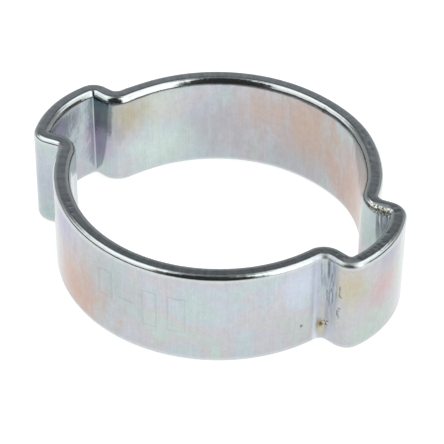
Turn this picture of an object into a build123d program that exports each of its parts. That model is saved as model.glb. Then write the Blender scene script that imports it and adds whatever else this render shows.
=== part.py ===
from build123d import *
from math import sqrt
import os

# A two-ear hose clamp: one endless steel band of even thickness, bent out into two ears.
# Pincers pinch the ears to draw the band tight round a hose.
# The origin is the centre of the bore, in the plane of the lower rim.
# +X runs through an ear, +Y through a plain arc, and +Z along the hose.

# Sizes, in millimetres and degrees
bore_radius = 9.0             # as supplied, before the ears are pinched
strip_thickness = 1.1
band_width = 6.7              # along the hose
ear_height = 2.25             # from the ring's outer face to the top of an ear
neck_width = 6.4              # over an ear's flanks, where they leave the ring
ear_offset = -0.2             # along Y: the ears are pressed a little off the bore's centre
flank_splay = 9.5             # how far each flank leans away from the +X direction
roof_radius = 6.8             # outer face of an ear's domed roof
neck_crease_radius = 0.4      # outer face, where the ring turns into a flank
corner_crease_radius = 0.1    # inner face, where a flank turns into the roof
bore_rim_radius = 0.4         # the rims are well rounded where they meet the hose
outer_rim_break = 0.2         # and only broken on the outside

outer_radius = bore_radius + strip_thickness
ear_reach = outer_radius + ear_height
corner_outer_radius = corner_crease_radius + strip_thickness


def neck_root(y):
    """The point on the ring's outer face, at the ear on the +X side, that is y off the X axis."""
    return Vector(sqrt(outer_radius**2 - y**2), y)


# One ear seen along the hose: two flanks that splay from the ring, cut off by the roof
with BuildSketch() as ear_outline:
    with BuildLine():
        back_root = neck_root(ear_offset + neck_width / 2)
        front_root = neck_root(ear_offset - neck_width / 2)
        back_flank = PolarLine(back_root, ear_reach, flank_splay)
        front_flank = PolarLine(front_root, ear_reach, -flank_splay)
        Line(back_flank @ 1, front_flank @ 1)
        Polyline(front_root, (0, ear_offset), back_root)
    make_face()
    with Locations((ear_reach - roof_radius, ear_offset)):
        Circle(roof_radius, mode=Mode.INTERSECT)

# The band seen along the hose: ring and ears in one outline, creased, then hollowed out
with BuildSketch() as band_plan:
    Circle(outer_radius)
    add(ear_outline.sketch)
    add(mirror(ear_outline.sketch, about=Plane.YZ, mode=Mode.PRIVATE))
    necks = band_plan.vertices().sort_by_distance((0, 0))[:4]
    fillet(necks, neck_crease_radius)
    corners = band_plan.vertices().sort_by_distance((0, 0))[-4:]
    fillet(corners, corner_outer_radius)
    offset(amount=-strip_thickness, kind=Kind.INTERSECTION, mode=Mode.SUBTRACT)

# The band itself, from its lower rim to its upper one
with BuildPart() as clamp_band:
    add(band_plan.sketch)
    extrude(amount=band_width)
    rims = clamp_band.faces().filter_by(Axis.Z)
    bore_edges = [edge for rim in rims for edge in rim.inner_wires()[0].edges()]
    fillet(bore_edges, bore_rim_radius)
    rims = clamp_band.faces().filter_by(Axis.Z)
    outer_edges = [edge for rim in rims for edge in rim.outer_wire().edges()]
    chamfer(outer_edges, outer_rim_break)
clamp_band.part.label = "clamp_band"

os.makedirs("parts", exist_ok=True)
export_step(clamp_band.part, "parts/clamp_band.step")
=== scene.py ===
from math import atan2, cos, pi, radians, sin, sqrt

import bpy
import numpy as np
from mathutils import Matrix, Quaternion, Vector


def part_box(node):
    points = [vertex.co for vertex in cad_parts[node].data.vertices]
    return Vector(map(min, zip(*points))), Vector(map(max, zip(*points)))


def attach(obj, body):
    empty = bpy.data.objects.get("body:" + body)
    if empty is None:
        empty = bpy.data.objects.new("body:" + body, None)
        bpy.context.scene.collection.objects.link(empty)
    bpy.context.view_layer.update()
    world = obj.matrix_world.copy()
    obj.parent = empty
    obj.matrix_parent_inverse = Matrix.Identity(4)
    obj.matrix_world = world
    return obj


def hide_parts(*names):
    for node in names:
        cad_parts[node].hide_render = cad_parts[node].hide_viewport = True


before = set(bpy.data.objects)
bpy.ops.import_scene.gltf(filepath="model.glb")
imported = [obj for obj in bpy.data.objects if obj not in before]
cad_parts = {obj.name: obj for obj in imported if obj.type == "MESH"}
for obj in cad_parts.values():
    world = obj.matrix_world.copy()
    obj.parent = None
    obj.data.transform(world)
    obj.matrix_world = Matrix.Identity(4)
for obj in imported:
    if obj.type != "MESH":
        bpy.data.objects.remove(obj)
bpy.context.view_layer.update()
bpy.ops.object.select_all(action="DESELECT")


# ---------------------------------------------------------------------------
# The strip. The clamp is one endless strip of mild steel, cut from tube and pressed
# into two ears, so its section is the same all the way round. Tumbling has rolled its
# cut edges round, most of all on the side that meets the hose.
# ---------------------------------------------------------------------------

mm = 0.001
box_low, box_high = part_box("clamp_band")
band_width = box_high.z - box_low.z
outer_radius = box_high.y
strip_thickness = 1.1 * mm
bore_radius = outer_radius - strip_thickness
bore_rim_radius = 0.37 * mm
bore_rim_stretch = 1.45     # the bore's edges are worn rounder along the wall than across the rim
outer_rim_radius = 0.3 * mm
same_place = 0.001 * mm     # vertices this close to a plane are taken to lie in it

# The section starts as a flat plate, standing on the ring's +Y crown.
bpy.ops.mesh.primitive_plane_add(size=1, rotation=(0, pi / 2, 0))
band = bpy.context.object
band.name = "clamp_band_plated"
band.scale = (band_width, strip_thickness, 1)
band.location = (0, (bore_radius + outer_radius) / 2, band_width / 2)
bpy.ops.object.transform_apply(location=True, rotation=True, scale=True)


def pick_vertices(wanted):
    """Selects the vertices of the strip whose place passes the test."""
    bpy.ops.object.mode_set(mode="EDIT")
    bpy.ops.mesh.select_mode(type="VERT")
    bpy.ops.mesh.select_all(action="DESELECT")
    bpy.ops.object.mode_set(mode="OBJECT")
    for vertex in band.data.vertices:
        vertex.select = wanted(vertex.co)
    bpy.ops.object.mode_set(mode="EDIT")


for rim_radius, round_steps, on_bore in ((bore_rim_radius, 8, True), (outer_rim_radius, 6, False)):
    edge_y = bore_radius if on_bore else outer_radius
    pick_vertices(lambda co: abs(co.y - edge_y) < same_place)
    bpy.ops.mesh.bevel(offset=rim_radius, segments=round_steps, profile=0.5, affect="VERTICES")

bpy.ops.mesh.select_all(action="SELECT")
bpy.ops.mesh.delete(type="ONLY_FACE")

rounding_reach = bore_rim_radius + same_place
for rim_z, toward in ((0, 1), (band_width, -1)):
    pick_vertices(lambda co: co.y < bore_radius + rounding_reach
                  and (co.z - rim_z) * toward < rounding_reach)
    bpy.ops.transform.resize(value=(1, 1, bore_rim_stretch), center_override=(0, 0, rim_z))

# Rows along the strip: close together on the outer face, which carries the stamping.
outer_rows = 84
bore_rows = 16
rim_rows = 5
for side_y, rows in ((outer_radius, outer_rows), (bore_radius, bore_rows)):
    pick_vertices(lambda co: abs(co.y - side_y) < same_place)
    bpy.ops.mesh.subdivide(number_cuts=rows - 1)
for rim_z in (0, band_width):
    pick_vertices(lambda co: abs(co.z - rim_z) < same_place)
    bpy.ops.mesh.subdivide(number_cuts=rim_rows - 1)
bpy.ops.mesh.select_all(action="SELECT")

# The ears. Each is pressed out of the ring: a tight bend at the neck, a leaning flank,
# a sharp fold at the corner and a domed roof. Both lie a little off the bore's centre.
ear_height = 2.25 * mm      # from the ring's outer face to the top of an ear
neck_width = 6.4 * mm
ear_offset = -0.2 * mm
flank_splay = radians(9.5)
roof_radius = 6.8 * mm
neck_crease_radius = 0.4 * mm
corner_crease_radius = 0.1 * mm

ear_reach = outer_radius + ear_height
corner_outer_radius = corner_crease_radius + strip_thickness
neck_inner_radius = neck_crease_radius + strip_thickness
roof_centre = Vector((ear_reach - roof_radius, ear_offset))


def reach_along(start, direction, centre, distance):
    """How far along a line from start a point stands at this distance from centre."""
    gap = start - centre
    half = gap.dot(direction)
    return -half + sqrt(half * half - gap.length_squared + distance * distance)


def ear_side(side):
    """Centres, angles and length of one flank's bends; side is 1 at +Y and -1 at -Y."""
    run = Vector((cos(flank_splay), side * sin(flank_splay)))
    outward = Vector((-sin(flank_splay), side * cos(flank_splay)))
    root_y = side * neck_width / 2 + ear_offset
    root = Vector((sqrt(outer_radius ** 2 - root_y ** 2), root_y))
    neck_start = root + neck_crease_radius * outward
    neck_reach = reach_along(neck_start, run, Vector((0, 0)), outer_radius + neck_crease_radius)
    neck = neck_start + neck_reach * run
    corner_start = root - corner_outer_radius * outward
    corner_reach = reach_along(corner_start, run, roof_centre, roof_radius - corner_outer_radius)
    corner = corner_start + corner_reach * run
    ring_angle = atan2(abs(neck.y), neck.x)
    roof_angle = atan2(side * (corner - roof_centre).y, (corner - roof_centre).x)
    return {
        "run": run * (corner_reach - neck_reach),
        "neck": neck,
        "corner": corner,
        "ring_angle": ring_angle,
        "roof_angle": roof_angle,
        "neck_turn": flank_splay + pi / 2 - ring_angle,
        "corner_turn": flank_splay + pi / 2 - roof_angle,
    }


fewest_steps = 3


def bend(centre, angle, step_length, at_radius):
    """Carries the open end of the strip round a centre; a positive angle turns it left."""
    steps = max(fewest_steps, round(abs(angle) * at_radius / step_length))
    # Spin counts its angle clockwise about the axis.
    bpy.ops.mesh.spin(steps=steps, angle=-angle, center=(centre.x, centre.y, 0), axis=(0, 0, 1))


def draw_out(run, steps):
    """Carries the open end of the strip straight on."""
    stride = {"value": (run.x / steps, run.y / steps, 0)}
    for step in range(steps):
        bpy.ops.mesh.extrude_region_move(TRANSFORM_OT_translate=stride)


ring_centre = Vector((0, 0))
back = ear_side(1)
front = ear_side(-1)
plain_step = 0.2 * mm       # the back arc is plain
stamped_step = 0.09 * mm    # the front arc carries the stamping
ear_step = 0.11 * mm
flank_steps = 9

bend(ring_centre, -(pi / 2 - back["ring_angle"]), plain_step, outer_radius)
bend(back["neck"], back["neck_turn"], ear_step, neck_inner_radius)
draw_out(back["run"], flank_steps)
bend(back["corner"], -back["corner_turn"], ear_step, corner_outer_radius)
bend(roof_centre, -(back["roof_angle"] + front["roof_angle"]), ear_step, roof_radius)
bend(front["corner"], -front["corner_turn"], ear_step, corner_outer_radius)
draw_out(Vector((-front["run"].x, -front["run"].y)), flank_steps)
bend(front["neck"], front["neck_turn"], ear_step, neck_inner_radius)
bend(ring_centre, -(pi / 2 - front["ring_angle"]), stamped_step, outer_radius)
bpy.ops.object.mode_set(mode="OBJECT")

# The other half is its mirror image, joined to it at both crowns.
crown_gap = 0.01 * mm       # vertices closer than this are merged at the crowns
spin_gap = 0.002 * mm       # and closer than this anywhere along the strip
mirror = band.modifiers.new("Other half", "MIRROR")
mirror.use_axis = (True, False, False)
mirror.merge_threshold = crown_gap
bpy.ops.object.modifier_apply(modifier=mirror.name)
bpy.ops.object.mode_set(mode="EDIT")
bpy.ops.mesh.select_all(action="SELECT")
bpy.ops.mesh.remove_doubles(threshold=spin_gap)
bpy.ops.mesh.normals_make_consistent(inside=False)
bpy.ops.mesh.select_all(action="DESELECT")
bpy.ops.object.mode_set(mode="OBJECT")
bpy.ops.object.shade_smooth()


# ---------------------------------------------------------------------------
# Press marks and wear. Blank type slugs and a bar are struck into the front face. The
# necks are wrinkled where the strip was folded, the plate has built up in grains in the
# right ear, the upper rim is finely pitted, and pressing left the ring a little uneven.
# ---------------------------------------------------------------------------

def read_vectors(items, attribute):
    """One attribute of a mesh's vertices as rows of three numbers."""
    flat = np.zeros(len(items) * 3, np.float32)
    items.foreach_get(attribute, flat)
    return flat.reshape(-1, 3).astype(float)


places = read_vectors(band.data.vertices, "co") / mm
normals = read_vectors(band.data.vertices, "normal")


def soft_step(value):
    """0 below 0, 1 above 1, and a smooth rise between."""
    value = np.clip(value, 0, 1)
    return value * value * (3 - 2 * value)


def distance_to_path(points):
    """Each vertex's distance in mm from a run of straight lines."""
    nearest = np.full(len(places), 1e3)
    for start, end in zip(points[:-1], points[1:]):
        line = np.subtract(end, start)
        share = np.clip((places - start) @ line / (line @ line), 0, 1)
        gap = np.linalg.norm(places - (start + share[:, None] * line), axis=1)
        nearest = np.minimum(nearest, gap)
    return nearest


def laid_on_surface(points):
    """A path's points, closely spaced and each moved to the nearest vertex."""
    laid = []
    for start, end in zip(points[:-1], points[1:]):
        for share in np.linspace(0, 1, 7):
            point = np.multiply(start, 1 - share) + np.multiply(end, share)
            nearest = places[np.argmin(np.linalg.norm(places - point, axis=1))]
            if not laid or np.any(nearest != laid[-1]):
                laid.append(nearest)
    return laid


def on_wall(polar_angle, height):
    """A point in mm on the ring's outer wall."""
    angle = radians(polar_angle)
    radius = outer_radius / mm
    return np.array((radius * cos(angle), radius * sin(angle), height))


# Blank slugs of type are outlines of plain oblongs; a level bar stands between them.
slugs = (
    # polar angles of the left and right sides, lower and upper heights
    (-101.3, -95.9, 3.10, 5.00),
    (-83.6, -78.6, 2.20, 4.80),
    (-74.6, -68.6, 2.20, 4.80),
)
stamped_lines = [[on_wall(-93.4, 3.5), on_wall(-90.0, 3.5), on_wall(-86.6, 3.5)]]
for left, right, bottom, top in slugs:
    middle = (left + right) / 2
    stamped_lines.append([on_wall(left, bottom), on_wall(middle, bottom), on_wall(right, bottom),
                          on_wall(right, top), on_wall(middle, top), on_wall(left, top),
                          on_wall(left, bottom)])

# Each stroke has a raised lip along both sides, where the metal was pushed aside.
stroke_depth = 0.050
stroke_half_width = 0.17
stroke_lip = 0.006
lip_from_middle = 0.22
lip_spread = 0.06
stamping = np.zeros(len(places))
for points in stamped_lines:
    gap = distance_to_path(points)
    stamping += stroke_depth * soft_step(1 - gap / stroke_half_width)
    stamping -= stroke_lip * np.exp(-((gap - lip_from_middle) / lip_spread) ** 2)

sink = stamping.copy()

neck_wrinkles = (
    # points along it, half width and depth, all in mm
    (((9.49, -3.56, 6.1), (9.51, -3.53, 5.3), (9.54, -3.52, 4.5)), 0.09, 0.020),
    (((9.82, -3.45, 6.3), (9.84, -3.46, 5.7), (9.87, -3.46, 5.2)), 0.12, 0.032),
    (((10.16, -3.51, 5.6), (10.12, -3.50, 5.2), (10.21, -3.52, 4.8), (10.16, -3.51, 4.3),
      (10.22, -3.52, 3.8), (10.18, -3.51, 3.4)), 0.09, 0.034),
    (((9.98, -3.48, 4.6), (9.95, -3.48, 4.1), (10.00, -3.48, 3.5), (9.98, -3.48, 2.9)), 0.08, 0.026),
    (((9.80, -3.46, 4.1), (9.79, -3.46, 3.8), (9.84, -3.46, 3.3)), 0.09, 0.030),
    (((10.48, -3.57, 4.8), (10.51, -3.57, 4.4), (10.50, -3.57, 4.0)), 0.08, 0.020),
    (((10.77, -3.58, 4.85), (10.73, -3.58, 4.65), (10.73, -3.58, 4.35), (10.78, -3.58, 4.1)), 0.11, 0.042),
    (((10.80, -3.58, 3.22), (10.70, -3.58, 3.10), (10.64, -3.58, 2.90), (10.66, -3.58, 2.60),
      (10.71, -3.58, 2.40)), 0.11, 0.040),
    (((10.72, -3.58, 2.3), (10.78, -3.58, 1.9), (10.80, -3.58, 1.4)), 0.08, 0.014),
    (((10.15, -3.51, 3.1), (10.18, -3.51, 2.2), (10.24, -3.52, 1.1)), 0.09, 0.012),
    (((10.88, 2.07, 6.3), (10.70, 2.06, 5.9), (10.46, 2.02, 5.2)), 0.09, 0.028),
    (((10.14, 1.97, 6.0), (10.17, 1.97, 5.5), (10.26, 1.99, 5.0)), 0.08, 0.024),
    (((10.40, 2.01, 6.2), (10.36, 2.00, 5.7), (10.40, 2.01, 5.3)), 0.07, 0.018),
)
# Their depth wavers up the wall, and a low lip runs along both sides.
uneven = (1 + 0.25 * np.sin(9.1 * places[:, 2] + 2.0)
          + 0.15 * np.sin(21.0 * places[:, 2] + 5.0 * places[:, 0]))
lip_share = 0.25
for points, half_width, depth in neck_wrinkles:
    gap = distance_to_path(laid_on_surface(points))
    lip = np.exp(-((gap - 1.3 * half_width) / (0.4 * half_width)) ** 2)
    sink += uneven * depth * (soft_step(1 - gap / half_width) - lip_share * lip)

pits = (
    # centre, radius and depth, all in mm
    ((8.93, -4.73, 1.75), 0.17, 0.080),
    ((-3.75, -9.38, 0.50), 0.11, 0.040),
    ((8.75, -5.04, 5.35), 0.09, 0.015),
    ((7.42, -6.86, 4.92), 0.09, 0.012),
    ((9.58, -3.50, 1.30), 0.15, 0.035),
    ((9.98, -3.47, 1.70), 0.11, 0.045),
    ((9.59, -3.49, 2.90), 0.12, 0.020),
    ((2.34, 8.80, 6.55), 0.30, 0.030),
    ((-8.97, 2.62, 5.55), 0.08, 0.015),
)
for centre, radius, depth in pits:
    sink += depth * soft_step(1 - np.linalg.norm(places - np.array(centre), axis=1) / radius)

# Grains of plate: a cluster beside the stain, and one on the right ear's back edge. The
# rest are clusters of fine pits in the upper rim, which glint.
cluster_random = np.random.default_rng(18)
clusters = (
    # centre, spread along each axis, number, radius and height in mm; a pit's height is negative
    ((9.83, -3.46, 1.50), (0.12, 0.02, 0.12), 18, 0.06, 0.026),
    ((10.20, 2.10, 6.55), (0.40, 0.08, 0.08), 46, 0.07, 0.030),
    ((10.90, -2.95, 6.70), (0.45, 0.25, 0.0), 24, 0.09, -0.024),
    ((11.60, -1.30, 6.70), (0.25, 0.80, 0.0), 20, 0.09, -0.024),
    ((10.90, 2.60, 6.70), (0.60, 0.20, 0.0), 14, 0.09, -0.024),
    ((8.00, 5.20, 6.70), (0.50, 0.70, 0.0), 18, 0.09, -0.024),
    ((6.40, 7.10, 6.70), (0.60, 0.60, 0.0), 18, 0.09, -0.024),
    ((-5.60, -7.70, 6.70), (0.90, 0.80, 0.0), 18, 0.09, -0.018),
)
for centre, spread, number, radius, rise in clusters:
    for spot in cluster_random.normal(centre, spread, (number, 3)):
        gap = np.linalg.norm(places - spot, axis=1)
        sink -= rise * soft_step(1 - gap / radius)

# The marks' depth stays with the mesh, because painted shade darkens them. The
# struck slugs get less of it than the wrinkles and pits.
slug_unshaded_share = 0.7
darkest_depth = 0.05
mark_shares = np.clip((sink - slug_unshaded_share * stamping) / darkest_depth, 0, 1)
mark_depth = band.data.attributes.new("mark_depth", "FLOAT", "POINT")
mark_depth.data.foreach_set("value", mark_shares.astype(np.float32))

# Pressing left the ring full behind the right ear, flat beside it, and shallow at one neck.
swellings = (
    # height in mm, polar angle and spread in degrees
    (0.10, 58, 15),
    (-0.08, 20, 6),
)
shallow_neck = np.array((-9.3, 3.1))
neck_push = np.array((-0.04, 0.14))
push_spread = 0.9
bearing = np.degrees(np.arctan2(places[:, 1], places[:, 0]))
swell = np.zeros(len(places))
for rise, polar_angle, spread in swellings:
    swell += rise * np.exp(-((bearing - polar_angle) / spread) ** 2)
outward = places[:, :2] / np.linalg.norm(places[:, :2], axis=1)[:, None]
neck_gap = np.linalg.norm(places[:, :2] - shallow_neck, axis=1)
push_share = np.exp(-(neck_gap / push_spread) ** 2)
places = places - sink[:, None] * normals
places[:, :2] += swell[:, None] * outward + push_share[:, None] * neck_push

band.data.vertices.foreach_set("co", (places * mm).astype(np.float32).ravel())
band.data.update()


# ---------------------------------------------------------------------------
# Zinc plate. Bright electroplated zinc with a thin passivated film, put on by barrel
# plating after the clamp is formed. The film is thinner than light's own waves in
# places, so the metal is washed with pale pink, lilac, blue, green and cream.
# ---------------------------------------------------------------------------

def linear(code):
    """The linear colour of an sRGB hex value."""
    channels = [int(code[i:i + 2], 16) / 255 for i in (1, 3, 5)]
    return [c / 12.92 if c <= 0.04045 else ((c + 0.055) / 1.055) ** 2.4 for c in channels] + [1.0]


def add_node(tree, kind, inputs=None, **settings):
    """Adds a node; inputs gives each socket a value or another node's output."""
    node = tree.nodes.new("ShaderNode" + kind)
    for name, value in settings.items():
        setattr(node, name, value)
    for name, value in (inputs or {}).items():
        socket = node.inputs[name] if isinstance(name, int) else \
            next(s for s in node.inputs if s.name == name and s.enabled)
        if isinstance(value, bpy.types.Node):
            value = next(s for s in value.outputs if s.enabled)
        if isinstance(value, bpy.types.NodeSocket):
            tree.links.new(value, socket)
        else:
            socket.default_value = value
    return node


soft = {"interpolation_type": "SMOOTHSTEP"}


def spot_strength(space, centre, radius, core, most):
    """The strength of a soft round spot: most within core times radius, and 0 beyond radius."""
    away = add_node(tree, "VectorMath", {0: space, 1: centre}, operation="DISTANCE")
    return add_node(tree, "MapRange", {"Value": away.outputs["Value"], "From Min": radius,
                                       "From Max": core * radius, "To Min": 0.0, "To Max": most}, **soft)


zinc = bpy.data.materials.new("zinc_plate_passivated")
zinc.use_nodes = True
tree = zinc.node_tree
tree.nodes.clear()

place = add_node(tree, "TexCoord")
in_mm = add_node(tree, "Mapping", {"Vector": place.outputs["Object"], "Scale": (1 / mm, 1 / mm, 1 / mm)})

# Film colour: soft clouds a few millimetres across, in the order that a thickening film takes.
film = add_node(tree, "TexNoise", {"Vector": in_mm, "Scale": 0.28, "Detail": 2.5, "Roughness": 0.5,
                                   "Distortion": 0.8})
film_colours = add_node(tree, "ValToRGB", {"Fac": film.outputs["Fac"]})
film_ramp = film_colours.color_ramp
film_ramp.interpolation = "B_SPLINE"
film_steps = ((0.28, "#BCC5BC"), (0.40, "#B5C3C6"), (0.48, "#BAC0C8"), (0.56, "#BFBBC1"),
              (0.65, "#BAC1BE"), (0.74, "#B8C6C4"))
while len(film_ramp.elements) < len(film_steps):
    film_ramp.elements.new(0.5)
for element, (position, code) in zip(film_ramp.elements, film_steps):
    element.position = position
    element.color = linear(code)
colour = film_colours.outputs["Color"]

# Larger washes of one colour, where the clamp lay against others in the barrel, and painted shade inside the
# left ear. Their edges are ragged and run up the wall, as the rinse water drained.
drained = add_node(tree, "Mapping", {"Vector": in_mm, "Scale": (1.4, 1.4, 0.5)})
edge_noise = add_node(tree, "TexNoise", {"Vector": drained, "Scale": 1.0, "Detail": 4.0, "Roughness": 0.65})
washes_and_painted_shade = (
    # centre in mm, radius in mm, colour
    ((0.5, 9.0, 3.4), 7.5, "#ABA9AE"),
    ((7.0, 6.2, 3.0), 6.0, "#B7A9AA"),
    ((-4.6, 7.7, 3.4), 4.0, "#ACAAB1"),
    ((-2.2, 8.7, 4.6), 3.0, "#B9ABA6"),
    ((-7.8, 4.6, 1.6), 3.6, "#C8D6D2"),
    ((-7.6, 4.7, 5.6), 3.0, "#C6CAC2"),
    ((-9.0, 2.9, 5.4), 2.8, "#B1AA92"),
    ((1.3, 9.0, 4.6), 4.4, "#BBA699"),
    ((5.5, 7.1, 2.2), 5.2, "#BEA599"),
    ((8.2, 3.8, 2.4), 3.0, "#BCA6A2"),
    ((9.4, 2.1, 4.6), 2.6, "#A9B9B4"),
    ((-1.4, -9.9, 4.2), 4.2, "#ADB6B8"),
    ((-4.4, -9.1, 1.8), 5.0, "#C2A091"),
    ((-5.8, -8.3, 6.0), 3.2, "#A09FBA"),
    ((-10.8, -3.2, 3.4), 3.2, "#AEB6C0"),
    ((-10.5, -3.5, 0.9), 1.8, "#ABBDBC"),
    ((11.4, -3.4, 5.0), 2.6, "#BDB49C"),
    ((12.3, -0.9, 3.9), 2.6, "#C3A9AA"),
    ((12.2, -0.3, 6.2), 2.4, "#ABAABA"),
    ((12.0, -2.2, 1.0), 2.2, "#B6C5BD"),
    # The next four, inside the left ear, are painted shade that darkens its hollow, in the film's tints.
    ((-11.2, 0.5, 5.6), 1.9, "#8F979E"),
    ((-10.2, 2.1, 6.4), 1.9, "#90A5AC"),
    ((-10.3, 2.1, 4.2), 2.1, "#9A98AA"),
    ((-10.4, 2.1, 2.4), 1.7, "#A89FB4"),
    ((8.9, -4.6, 4.9), 2.6, "#C4CCDC"),
)
raggedness = 1.1            # as a share of a wash's radius, as are its edge and its middle
wash_edge = 0.4
wash_middle = -0.55
wash_strength = 0.85
for centre, radius, code in washes_and_painted_shade:
    away = add_node(tree, "VectorMath", {0: in_mm, 1: centre}, operation="DISTANCE")
    ragged = add_node(tree, "Math", {0: edge_noise.outputs["Fac"], 1: -raggedness * radius,
                                     2: away.outputs["Value"]}, operation="MULTIPLY_ADD")
    strength = add_node(tree, "MapRange", {"Value": ragged, "From Min": wash_edge * radius,
                                           "From Max": wash_middle * radius,
                                           "To Min": 0.0, "To Max": wash_strength}, **soft)
    colour = add_node(tree, "Mix", {"Factor": strength.outputs["Result"], "A": colour, "B": linear(code)},
                      data_type="RGBA")

# The rounded edges are rubbed back to clean silver, most of all within 0.28 mm of a rim.
height = add_node(tree, "SeparateXYZ", {"Vector": in_mm}).outputs["Z"]
half_height = band_width / mm / 2
from_middle = add_node(tree, "Math", {0: height, 1: -half_height}, operation="ADD")
from_middle = add_node(tree, "Math", {0: from_middle}, operation="ABSOLUTE")
edge_rub = add_node(tree, "MapRange", {"Value": from_middle, "From Min": half_height - 0.48,
                                       "From Max": half_height - 0.28, "To Min": 0.0, "To Max": 0.8},
                    **soft)
colour = add_node(tree, "Mix", {"Factor": edge_rub.outputs["Result"], "A": colour, "B": linear("#C8CDCE")},
                  data_type="RGBA")

# The neck's bend is painted brighter from top to bottom: painted highlight that lightens the dark
# reflections along it.
in_plan = add_node(tree, "VectorMath", {0: in_mm, 1: (1.0, 1.0, 0.0)}, operation="MULTIPLY")
painted_highlight_strips = (((9.35, -3.83, 0.0), 0.30, "#E2E6F4"), ((10.15, -3.50, 0.0), 0.50, "#C8CCD6"))
for centre, radius, code in painted_highlight_strips:
    strength = spot_strength(in_plan, centre, radius, core=0.2, most=0.8)
    colour = add_node(tree, "Mix", {"Factor": strength.outputs["Result"], "A": colour, "B": linear(code)},
                      data_type="RGBA")

# A brown stain below the wrinkled neck has run down from its dark middle.
stain_lengths = add_node(tree, "Mapping", {"Vector": in_mm, "Scale": (1.0, 1.0, 0.6)})
stain = (((9.50, -3.55, 0.62), 0.46, "#C8C3A8"), ((9.47, -3.57, 0.86), 0.34, "#A99473"),
         ((9.55, -3.51, 0.81), 0.17, "#54442C"))
for centre, radius, code in stain:
    strength = spot_strength(stain_lengths, centre, radius, core=0.15, most=0.85)
    colour = add_node(tree, "Mix", {"Factor": strength.outputs["Result"], "A": colour, "B": linear(code)},
                      data_type="RGBA")

# Where the plate is grainy it is chalky white, with painted shade in the dark gaps between the grains.
speckle = add_node(tree, "TexNoise", {"Vector": in_mm, "Scale": 9.0, "Detail": 2.0, "Roughness": 0.6})
speckle_step = add_node(tree, "MapRange", {"Value": speckle.outputs["Fac"], "From Min": 0.43,
                                           "From Max": 0.53})
chalk_and_gap_shade = add_node(tree, "Mix", {"Factor": speckle_step.outputs["Result"], "A": linear("#33362F"),
                               "B": linear("#FFFFF2")}, data_type="RGBA")
chalky_places = (((9.84, -3.46, 1.50), 0.28), ((10.30, 2.10, 6.62), 0.62), ((9.75, 2.10, 6.62), 0.40))
chalky = 0.0
for centre, radius in chalky_places:
    strength = spot_strength(in_mm, centre, radius, core=0.6, most=0.8)
    chalky = add_node(tree, "Math", {0: chalky, 1: strength}, operation="ADD", use_clamp=True)
colour = add_node(tree, "Mix", {"Factor": chalky, "A": colour, "B": chalk_and_gap_shade}, data_type="RGBA")

# Where the strip was folded hardest, fine blue-grey lines of painted shade darken the wrinkles.
folds_map = add_node(tree, "Mapping", {"Vector": in_mm, "Scale": (8.0, 8.0, 0.5)})
folds = add_node(tree, "TexNoise", {"Vector": folds_map, "Scale": 1.0, "Detail": 3.0, "Roughness": 0.6,
                                    "Distortion": 0.6})
painted_fold_shade = add_node(tree, "MapRange", {"Value": folds.outputs["Fac"], "From Min": 0.48, "From Max": 0.62,
                                         "To Min": 0.0, "To Max": 0.60})
fold_heights = add_node(tree, "Mapping", {"Vector": in_mm, "Scale": (1.0, 1.0, 0.3)})
for centre, radius in (((10.05, -3.50, 1.46), 0.70), ((10.60, 2.05, 1.74), 0.45)):
    folded = spot_strength(fold_heights, centre, radius, core=0.5, most=1.0)
    strength = add_node(tree, "Math", {0: folded, 1: painted_fold_shade}, operation="MULTIPLY")
    colour = add_node(tree, "Mix", {"Factor": strength, "A": colour, "B": linear("#73858F")},
                      data_type="RGBA")

# Forming lines run along the hose's direction, drawn coarser than the real ones to show.
# Soft mottling and the plate's own grain lie over them.
lines_map = add_node(tree, "Mapping", {"Vector": in_mm, "Scale": (9.0, 9.0, 0.35)})
lines = add_node(tree, "TexNoise", {"Vector": lines_map, "Scale": 1.0, "Detail": 3.0, "Roughness": 0.6})
mottle = add_node(tree, "TexNoise", {"Vector": in_mm, "Scale": 2.2, "Detail": 4.0, "Roughness": 0.65})
grain = add_node(tree, "TexNoise", {"Vector": in_mm, "Scale": 7.0, "Detail": 3.0, "Roughness": 0.65})
for texture, low, high in ((lines, 0.97, 1.02), (mottle, 0.96, 1.03), (grain, 0.97, 1.03)):
    tone = add_node(tree, "MapRange", {"Value": texture.outputs["Fac"], "From Min": 0.35, "From Max": 0.65,
                                       "To Min": low, "To Max": high})
    colour = add_node(tree, "Mix", {"Factor": 1.0, "A": colour, "B": tone}, data_type="RGBA",
                      blend_type="MULTIPLY")

# The rims are the sheared edges of the strip: duller, with fine ticks across them.
on_rim = add_node(tree, "MapRange", {"Value": from_middle, "From Min": half_height - 0.03,
                                     "From Max": half_height - 0.002, "To Min": 0.0, "To Max": 1.0},
                  **soft)
rim_way = add_node(tree, "VectorMath", {0: in_plan}, operation="NORMALIZE")
ticks = add_node(tree, "TexNoise", {"Vector": rim_way, "Scale": 40.0, "Detail": 2.0, "Roughness": 0.6})
rim_spots = add_node(tree, "TexNoise", {"Vector": in_mm, "Scale": 1.8, "Detail": 3.0, "Roughness": 0.6})
rim_tone = add_node(tree, "MapRange", {"Value": rim_spots.outputs["Fac"], "From Min": 0.35, "From Max": 0.65,
                                       "To Min": 0.86, "To Max": 1.04})
tick_tone = add_node(tree, "MapRange", {"Value": ticks.outputs["Fac"], "From Min": 0.35, "From Max": 0.68,
                                        "To Min": 0.89, "To Max": 1.10})
rim_colour = add_node(tree, "Mix", {"Factor": 1.0, "A": linear("#B4BBC3"), "B": rim_tone}, data_type="RGBA",
                      blend_type="MULTIPLY")
rim_colour = add_node(tree, "Mix", {"Factor": 1.0, "A": rim_colour, "B": tick_tone}, data_type="RGBA",
                      blend_type="MULTIPLY")
colour = add_node(tree, "Mix", {"Factor": on_rim.outputs["Result"], "A": colour, "B": rim_colour},
                  data_type="RGBA")

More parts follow.
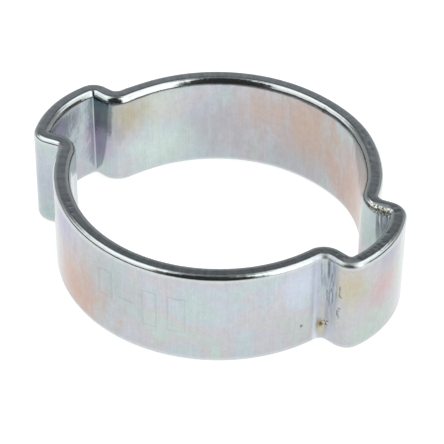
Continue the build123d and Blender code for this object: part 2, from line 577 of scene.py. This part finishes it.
# Painted shade darkens the bottom of each mark.
marks = add_node(tree, "Attribute", attribute_name="mark_depth")
mark_shade = add_node(tree, "MapRange", {"Value": marks.outputs["Fac"], "From Min": 0.15, "From Max": 0.9,
                                         "To Min": 0.0, "To Max": 0.72})
colour = add_node(tree, "Mix", {"Factor": mark_shade.outputs["Result"], "A": colour, "B": linear("#4A565C")},
                  data_type="RGBA")

# Bright and smooth, and duller where the right neck's walls are scuffed, where the right
# ear's front corner is rubbed, and where the plate is chalky.
roughness = add_node(tree, "MapRange", {"Value": grain.outputs["Fac"], "From Min": 0.3, "From Max": 0.7,
                                        "To Min": 0.10, "To Max": 0.18})
scuff_map = add_node(tree, "VectorMath", {0: in_mm, 1: (1.0, 1.0, 0.12)}, operation="MULTIPLY")
scuff_gap = add_node(tree, "VectorMath", {0: scuff_map, 1: (9.75, -3.5, 0.45)}, operation="DISTANCE")
scuffed = add_node(tree, "MapRange", {"Value": scuff_gap.outputs["Value"], "From Min": 1.25, "From Max": 0.6,
                                      "To Min": 0.0, "To Max": 0.30}, **soft)
scuffed = add_node(tree, "Mix", {"Factor": on_rim.outputs["Result"], "A": scuffed.outputs["Result"],
                                 "B": 0.0}, data_type="FLOAT")
roughness = add_node(tree, "Math", {0: roughness, 1: scuffed}, operation="ADD")
corner_gap = add_node(tree, "VectorMath", {0: in_mm, 1: (11.23, -3.37, 6.6)}, operation="DISTANCE")
rubbed = add_node(tree, "MapRange", {"Value": corner_gap.outputs["Value"], "From Min": 0.9, "From Max": 0.3,
                                     "To Min": 0.0, "To Max": 0.18}, **soft)
roughness = add_node(tree, "Math", {0: roughness, 1: rubbed.outputs["Result"]}, operation="ADD")
roughness = add_node(tree, "Math", {0: chalky, 1: 0.35, 2: roughness}, operation="MULTIPLY_ADD")

# The press left the walls slightly wavy, and the plate has a fine grain; the rims are flatter.
waves = add_node(tree, "TexNoise", {"Vector": in_mm, "Scale": 0.9, "Detail": 2.0, "Roughness": 0.5})
bump_share = add_node(tree, "MapRange", {"Value": on_rim.outputs["Result"], "To Min": 0.5, "To Max": 0.12})
waves_bump = add_node(tree, "Bump", {"Height": waves.outputs["Fac"], "Strength": bump_share,
                                     "Distance": 0.05 * mm})
lines_bump = add_node(tree, "Bump", {"Height": lines.outputs["Fac"], "Strength": bump_share,
                                     "Distance": 0.004 * mm, "Normal": waves_bump})
grain_bump = add_node(tree, "Bump", {"Height": grain.outputs["Fac"], "Strength": bump_share,
                                     "Distance": 0.003 * mm, "Normal": lines_bump})
surface = add_node(tree, "BsdfPrincipled", {"Base Color": colour, "Metallic": 1.0, "Roughness": roughness,
                                            "Normal": grain_bump})
add_node(tree, "OutputMaterial", {"Surface": surface})

band.data.materials.append(zinc)
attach(band, "root")
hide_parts("clamp_band")


# ---------------------------------------------------------------------------
# The table. A plain sheet of matt white card that glows with painted light around the clamp so that
# it stays white, the glow falling off towards the open front.
# ---------------------------------------------------------------------------

view_azimuth = radians(32.005)
front_way = Vector((sin(view_azimuth), -cos(view_azimuth), 0))
right_way = Vector((cos(view_azimuth), sin(view_azimuth), 0))

bpy.ops.mesh.primitive_plane_add(size=4.0)
table = bpy.context.object
table.name = "table"
card = bpy.data.materials.new("matt_white_card")
card.use_nodes = True
tree = card.node_tree
tree.nodes.clear()
place = add_node(tree, "TexCoord")
fibre = add_node(tree, "TexNoise", {"Vector": place.outputs["Object"], "Scale": 400.0, "Detail": 4.0})
fibre_colour = add_node(tree, "Mix", {"Factor": fibre.outputs["Fac"], "A": linear("#A8A8A8"),
                                      "B": linear("#AEAEAE")}, data_type="RGBA")
ahead = add_node(tree, "VectorMath", {0: place.outputs["Object"], 1: front_way}, operation="DOT_PRODUCT")
# The card's glow is painted light: its emission is strongest around the clamp and fades towards the open
# front.
lit = add_node(tree, "MapRange", {"Value": ahead.outputs["Value"], "From Min": 30 * mm, "From Max": 55 * mm,
                                  "To Min": 0.84, "To Max": 0.15}, **soft)
sheet = add_node(tree, "BsdfPrincipled", {"Base Color": fibre_colour, "Roughness": 0.8,
                                          "Specular IOR Level": 0.2, "Emission Color": linear("#FFFFFF"),
                                          "Emission Strength": lit})
add_node(tree, "OutputMaterial", {"Surface": sheet})
table.data.materials.append(card)


# ---------------------------------------------------------------------------
# Camera and light tent. A long lens looks down from the front right. The tent glows on
# both sides and overhead; its front is open and dark and its back wall dim, so the flat
# rims read dark and the rounded edges catch bright lines.
# ---------------------------------------------------------------------------

view_elevation = radians(40.396)
view_roll = radians(0.661)
view_distance = 129.75 * mm
lens = 170.67
sensor_width = 36
aim = Vector((0.840, -0.834, 3.35)) * mm

to_camera = front_way * cos(view_elevation) + Vector((0, 0, sin(view_elevation)))
camera_data = bpy.data.cameras.new("camera")
camera_data.lens = lens
camera_data.sensor_width = sensor_width
camera_data.clip_start = 1 * mm
camera = bpy.data.objects.new("camera", camera_data)
bpy.context.scene.collection.objects.link(camera)
camera.location = aim + view_distance * to_camera
camera.rotation_mode = "QUATERNION"
camera.rotation_quaternion = to_camera.to_track_quat("Z", "Y") @ Quaternion((0, 0, 1), view_roll)
bpy.context.scene.camera = camera

tent = bpy.data.worlds.new("light_tent")
tent.use_nodes = True
tree = tent.node_tree
tree.nodes.clear()
way = add_node(tree, "TexCoord").outputs["Generated"]
to_front = add_node(tree, "VectorMath", {0: way, 1: front_way}, operation="DOT_PRODUCT").outputs["Value"]
to_right = add_node(tree, "VectorMath", {0: way, 1: right_way}, operation="DOT_PRODUCT").outputs["Value"]
height = add_node(tree, "SeparateXYZ", {"Vector": way}).outputs["Z"]
# The bearing is 0 towards the open front and a right angle to the right.
bearing = add_node(tree, "Math", {0: to_right, 1: to_front}, operation="ARCTAN2")
aside = add_node(tree, "Math", {0: bearing}, operation="ABSOLUTE")
left_lean = 0.42            # the left panel's edge leans over as it rises
key_strength = 2.0          # the narrow, bright panel at the front right
upper_strength = 1.75
lower_strength = 1.3
back_strength = 0.42
dark_level = 0.04           # what every other part of the tent gives
leaning = add_node(tree, "Math", {0: height, 1: left_lean, 2: bearing}, operation="MULTIPLY_ADD")
left_edge = add_node(tree, "MapRange", {"Value": leaning, "From Min": -0.43, "From Max": -0.61,
                                        "To Min": 0.0, "To Max": 1.0}, **soft)
right_edge = add_node(tree, "MapRange", {"Value": bearing, "From Min": 0.44, "From Max": 0.62,
                                         "To Min": 0.0, "To Max": key_strength}, **soft)
key_end = add_node(tree, "MapRange", {"Value": bearing, "From Min": 1.05, "From Max": 1.30,
                                      "To Min": 1.0, "To Max": 0.0}, **soft)
key_panel = add_node(tree, "Math", {0: right_edge, 1: key_end}, operation="MULTIPLY")
right_rest = add_node(tree, "MapRange", {"Value": bearing, "From Min": 1.05, "From Max": 1.30,
                                         "To Min": 0.0, "To Max": 1.0}, **soft)
sides = add_node(tree, "Math", {0: left_edge, 1: right_rest}, operation="ADD")
# Each side has a brighter upper band that runs on towards the back, and a lower wall.
upper = add_node(tree, "MapRange", {"Value": height, "From Min": 0.68, "From Max": 0.80,
                                    "To Min": 0.0, "To Max": upper_strength}, **soft)
upper_end = add_node(tree, "MapRange", {"Value": aside, "From Min": 2.65, "From Max": 2.95,
                                        "To Min": 1.0, "To Max": 0.15}, **soft)
upper = add_node(tree, "Math", {0: upper, 1: upper_end}, operation="MULTIPLY")
lower = add_node(tree, "MapRange", {"Value": height, "From Min": 0.68, "From Max": 0.80,
                                    "To Min": lower_strength, "To Max": 0.0}, **soft)
lower_end = add_node(tree, "MapRange", {"Value": aside, "From Min": 1.75, "From Max": 2.15,
                                        "To Min": 1.0, "To Max": 0.0}, **soft)
lower = add_node(tree, "Math", {0: lower, 1: lower_end}, operation="MULTIPLY")
skirting = add_node(tree, "MapRange", {"Value": height, "From Min": 0.27, "From Max": 0.40,
                                       "To Min": 0.03, "To Max": 1.0}, **soft)
lower = add_node(tree, "Math", {0: lower, 1: skirting}, operation="MULTIPLY")
bands = add_node(tree, "Math", {0: upper, 1: lower}, operation="ADD")
panels = add_node(tree, "Math", {0: sides, 1: bands, 2: key_panel}, operation="MULTIPLY_ADD")
roof_gap = add_node(tree, "MapRange", {"Value": height, "From Min": 0.95, "From Max": 0.985,
                                       "To Min": 1.0, "To Max": 0.1}, **soft)
panels = add_node(tree, "Math", {0: panels, 1: roof_gap}, operation="MULTIPLY")
# The back wall is lighter low down; the rest of the tent is dark.
back_light = add_node(tree, "MapRange", {"Value": height, "From Min": 0.55, "From Max": 0.73,
                                         "To Min": back_strength, "To Max": 0.04}, **soft)
back_share = add_node(tree, "MapRange", {"Value": aside, "From Min": 1.6, "From Max": 2.1,
                                         "To Min": 0.0, "To Max": 1.0}, **soft)
light = add_node(tree, "Math", {0: back_light, 1: back_share, 2: panels}, operation="MULTIPLY_ADD")
light = add_node(tree, "Math", {0: light, 1: dark_level}, operation="ADD")
walls = add_node(tree, "Background", {"Color": linear("#F6F8F6"), "Strength": light})
add_node(tree, "OutputWorld", {"Surface": walls})
bpy.context.scene.world = tent
bpy.context.scene.view_settings.view_transform = "Standard"
